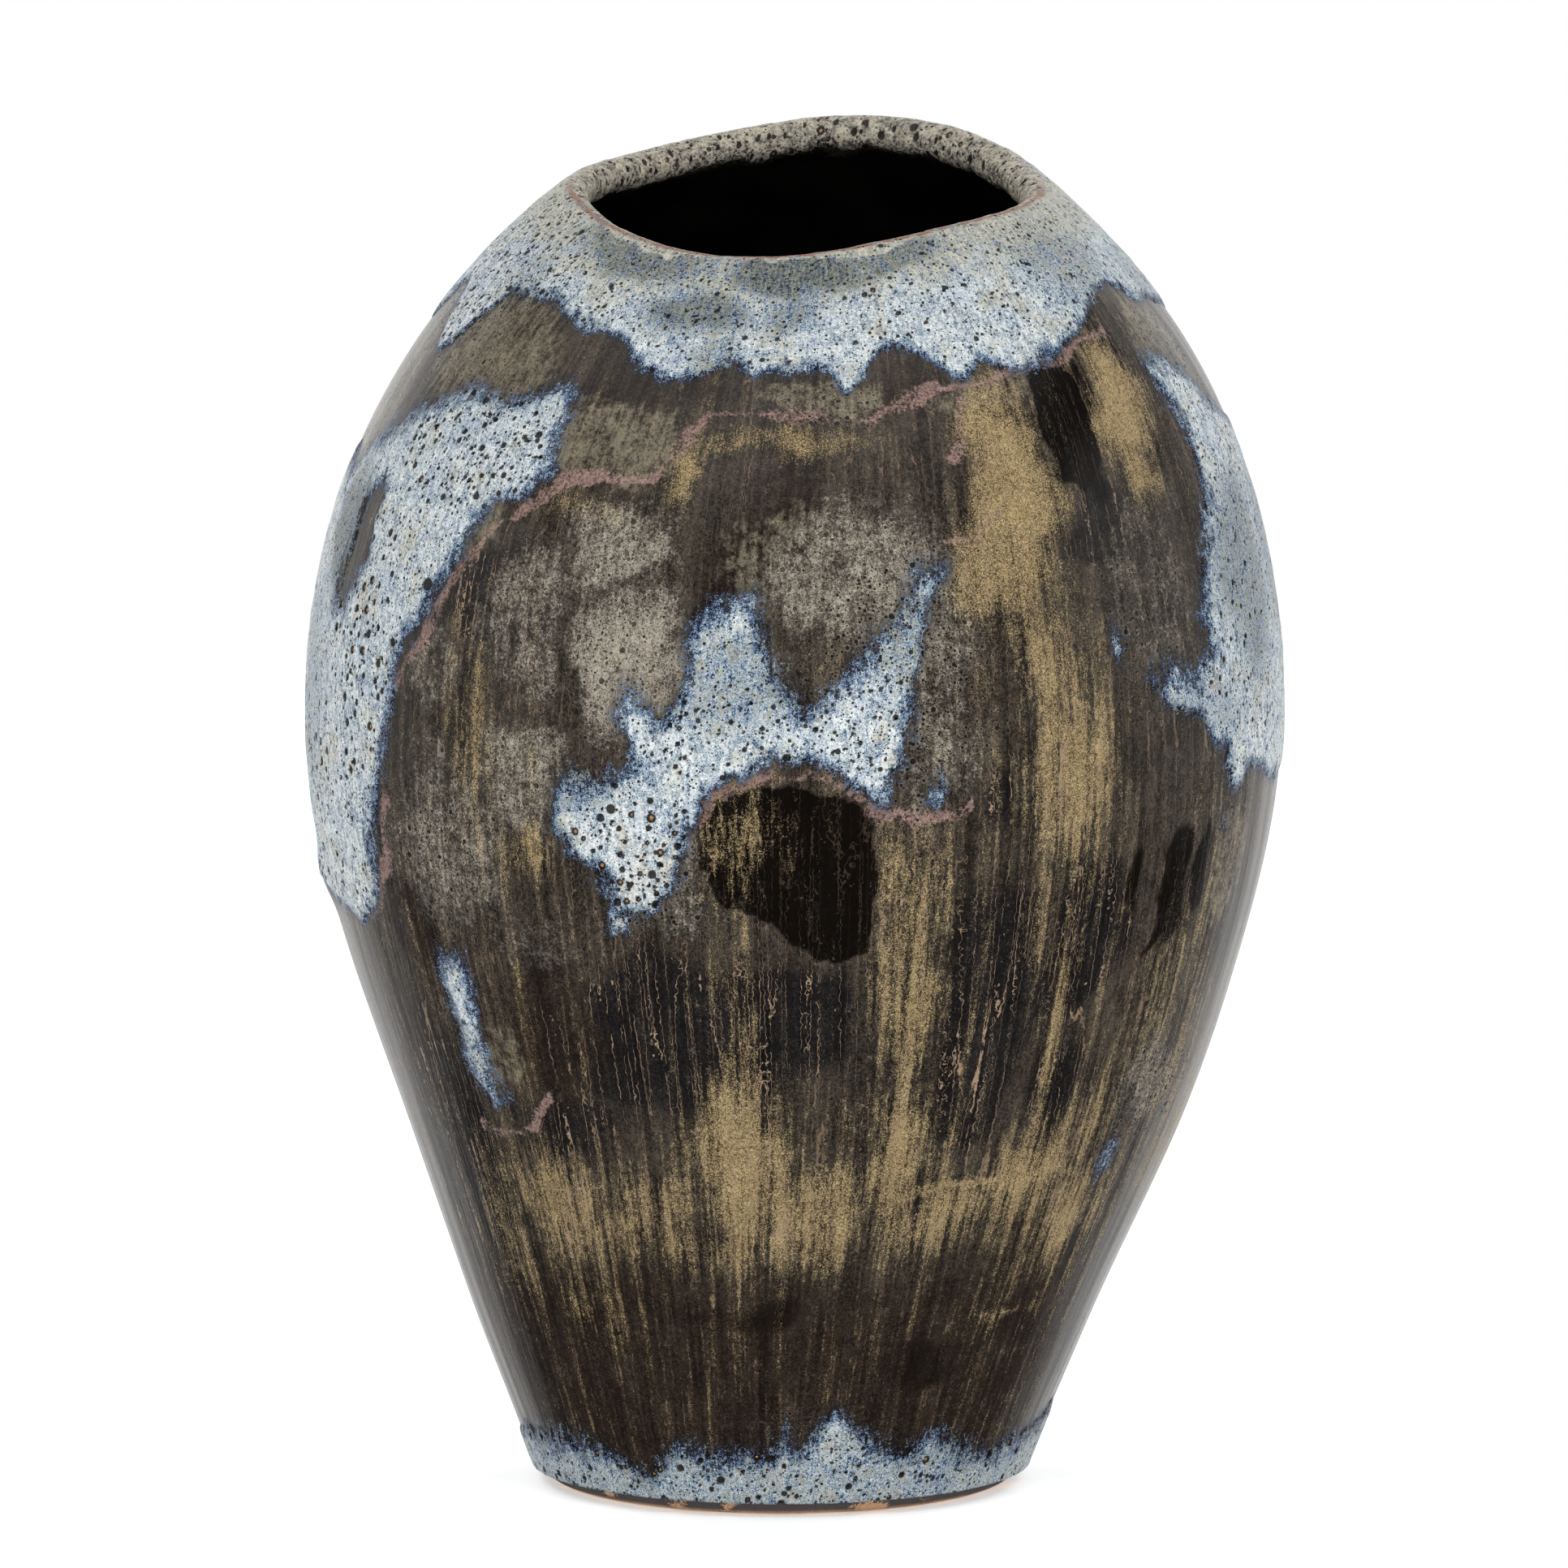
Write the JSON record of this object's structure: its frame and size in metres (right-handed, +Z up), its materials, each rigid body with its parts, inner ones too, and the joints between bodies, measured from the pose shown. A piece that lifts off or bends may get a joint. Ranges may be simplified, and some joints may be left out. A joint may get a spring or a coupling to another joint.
{
  "type": "stoneware vase",
  "caption": "Free-standing egg-shaped stoneware vase with a wide belly, narrow wavy mouth and flat foot, for holding stems or standing empty.",
  "frame": {"origin": "middle of the flat foot, on the surface that the vase stands on", "axes": "+Z up through the mouth, -Y towards the front with the splash of pale glaze, +X to the right seen from the front"},
  "size_m": [0.241, 0.2398, 0.3303],
  "materials": {
    "clay": "matte",
    "dark_glaze": "gloss",
    "liner_glaze": "gloss",
    "pale_glaze": "gloss"
  },
  "bodies": {
    "root": {"stoneware_body": "clay", "base_glaze_coat": "dark_glaze", "liner_glaze_coat": "liner_glaze", "shoulder_glaze_collar": "pale_glaze", "foot_glaze_band": "pale_glaze", "left_flank_glaze_run": "pale_glaze", "centre_glaze_splash": "pale_glaze", "right_flank_glaze_run": "pale_glaze", "lower_left_glaze_streak": "pale_glaze", "back_glaze_run": "pale_glaze", "back_glaze_splash": "pale_glaze"}
  },
  "joints": []
}
